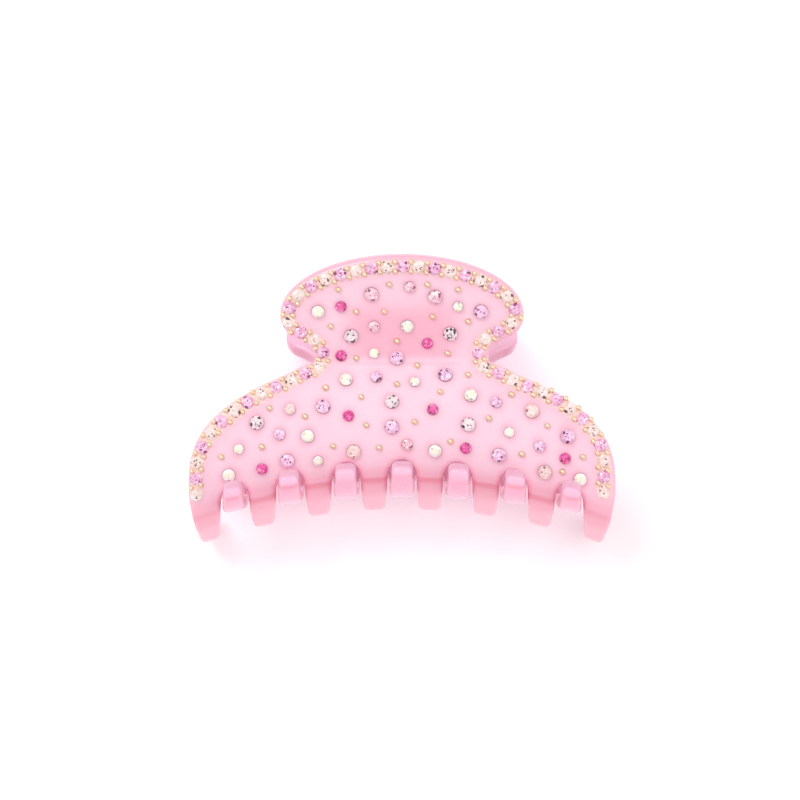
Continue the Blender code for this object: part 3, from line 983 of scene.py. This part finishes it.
def bead_piece(name, places, radius, seed, sunk):
    """Small gold balls, their middles this share of the radius under the sheet's surface."""
    chance = random.Random(seed)
    shape = bmesh.new()
    for x, s in places:
        size = radius * chance.uniform(0.93, 1.05)
        placed = seat(x, s, sunk * size)
        made = bmesh.ops.create_icosphere(shape, subdivisions=3, radius=size)
        for vertex in made["verts"]:
            vertex.co = placed @ vertex.co
    return piece_of(name, shape, GOLD)


def beads():
    places = [(x * MM, s * MM) for x, s in BEADS]
    scattered = bead_piece("single_gold_beads", places, BEAD, 31, -0.4)
    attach(scattered, "front")
    border = []
    for place, along in ROW_GAPS:
        across = Vector((-along.y, along.x))
        for sign in (-1, 1):
            spot = place + sign * ROW_BEAD_OFFSET * across
            border.append((spot.x, spot.y))
    row = bead_piece("border_gold_beads", border, BORDER_BEAD, 32, 0.15)
    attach(row, "front")


# Scene

def floor():
    """A pale table, with a painted pink glow round the clip that lightens its shadow."""
    mesh = bpy.data.meshes.new("studio_floor")
    size = 3.0
    mesh.from_pydata(
        [(-size, -size, 0), (size, -size, 0), (size, size, 0), (-size, size, 0)], [],
        [(0, 1, 2, 3)],
    )
    made = bpy.data.objects.new("studio_floor", mesh)
    bpy.context.scene.collection.objects.link(made)
    made.location = (0, 0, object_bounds()[0].z - FLOOR_GAP)
    material, nodes, links, shader = new_material("white_table")
    paper = noise(nodes, links, 3.0, 2.0)
    mix = nodes.new("ShaderNodeMix")
    mix.data_type = "RGBA"
    mix.inputs["A"].default_value = (0.97, 0.96, 0.965, 1)
    mix.inputs["B"].default_value = (0.985, 0.975, 0.98, 1)
    links.new(paper.outputs["Fac"], mix.inputs["Factor"])
    links.new(mix.outputs["Result"], shader.inputs["Base Color"])
    shader.inputs["Roughness"].default_value = 0.9
    shader.inputs["Specular IOR Level"].default_value = 0.1
    # painted pink glow: emission round the clip, lightening its shadow on the table
    place = nodes.new("ShaderNodeTexCoord")
    away = nodes.new("ShaderNodeVectorMath")
    away.operation = "LENGTH"
    links.new(place.outputs["Object"], away.inputs[0])
    glow = nodes.new("ShaderNodeMapRange")
    glow.interpolation_type = "SMOOTHSTEP"
    glow.inputs["From Min"].default_value = 0.02
    glow.inputs["From Max"].default_value = 0.07
    glow.inputs["To Min"].default_value = 0.15
    glow.inputs["To Max"].default_value = 0.0
    links.new(away.outputs["Value"], glow.inputs["Value"])
    shader.inputs["Emission Color"].default_value = (1.0, 0.84, 0.92, 1)
    links.new(glow.outputs["Result"], shader.inputs["Emission Strength"])
    mesh.materials.append(material)


def area_light(name, place, target, size, power, colour):
    lamp = bpy.data.lights.new(name, "AREA")
    lamp.shape = "DISK"
    lamp.size = size
    lamp.energy = power
    lamp.color = colour
    made = bpy.data.objects.new(name, lamp)
    bpy.context.scene.collection.objects.link(made)
    made.location = place
    made.rotation_euler = (Vector(target) - Vector(place)).to_track_quat("-Z", "Y").to_euler()


def studio():
    world = bpy.data.worlds.new("studio")
    bpy.context.scene.world = world
    world.use_nodes = True
    background = world.node_tree.nodes["Background"]
    background.inputs["Color"].default_value = (1.0, 0.985, 0.99, 1)
    background.inputs["Strength"].default_value = 0.88
    area_light("key", (-0.35, 0.30, 0.75), (0, 0, 0.01), 0.5, 2.6, (1.0, 0.99, 0.98))
    area_light("fill", (0.5, -0.25, 0.6), (0, 0, 0.01), 0.6, 1.1, (1.0, 0.98, 1.0))


def camera():
    """At the clip's front, 78 degrees up, on its middle line."""
    raised = math.radians(78)
    back = Vector((0, -math.cos(raised), math.sin(raised)))
    up = Vector((0, math.sin(raised), math.cos(raised)))
    target = HINGE + Vector((-0.4 * MM, 0, WAIST_HEIGHT)) - 7.7 * MM * up
    distance = 700 * MM
    seen_width = 157.6 * MM
    view = bpy.data.cameras.new("camera")
    view.sensor_width = 36
    view.lens = view.sensor_width * distance / seen_width
    view.clip_start = 0.01
    made = bpy.data.objects.new("camera", view)
    bpy.context.scene.collection.objects.link(made)
    made.location = target + distance * back
    made.rotation_euler = (-back).to_track_quat("-Z", "Y").to_euler()
    bpy.context.scene.camera = made
    scene = bpy.context.scene
    scene.view_settings.view_transform = "Standard"
    scene.view_settings.look = "None"
    scene.view_settings.exposure = 0.0


def main():
    front_edge = outline(FRONT_TEETH, HANDLE_WIDTH, 1.0, 0.0, OUTLINE_STEP)
    rear_edge = outline(
        REAR_TEETH, REAR_HANDLE_WIDTH, REAR_NARROWING, REAR_SHORTENING, OUTLINE_STEP
    )
    front = jaw("front_jaw_sheet", 1, front_edge, FRONT_GRID, front_tint)
    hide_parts("front_jaw")
    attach(front, "front")
    rear = jaw("rear_jaw_sheet", -1, rear_edge, REAR_GRID, rear_tint)
    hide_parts("rear_jaw")
    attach(rear, "rear")
    for word, sign in (("left", -1), ("right", 1)):
        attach(lug(f"front_hinge_lug_{word}", 1, sign * FRONT_LUG_X, f"front_lug_{word}"), "front")
        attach(lug(f"rear_hinge_lug_{word}", -1, sign * REAR_LUG_X, f"rear_lug_{word}"), "rear")
        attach(pin_cap(word, sign), "rear")
    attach(hinge_pin(), "rear")
    torsion_spring()
    scattered_stones()
    border_stones()
    beads()
    floor()
    studio()
    camera()


main()
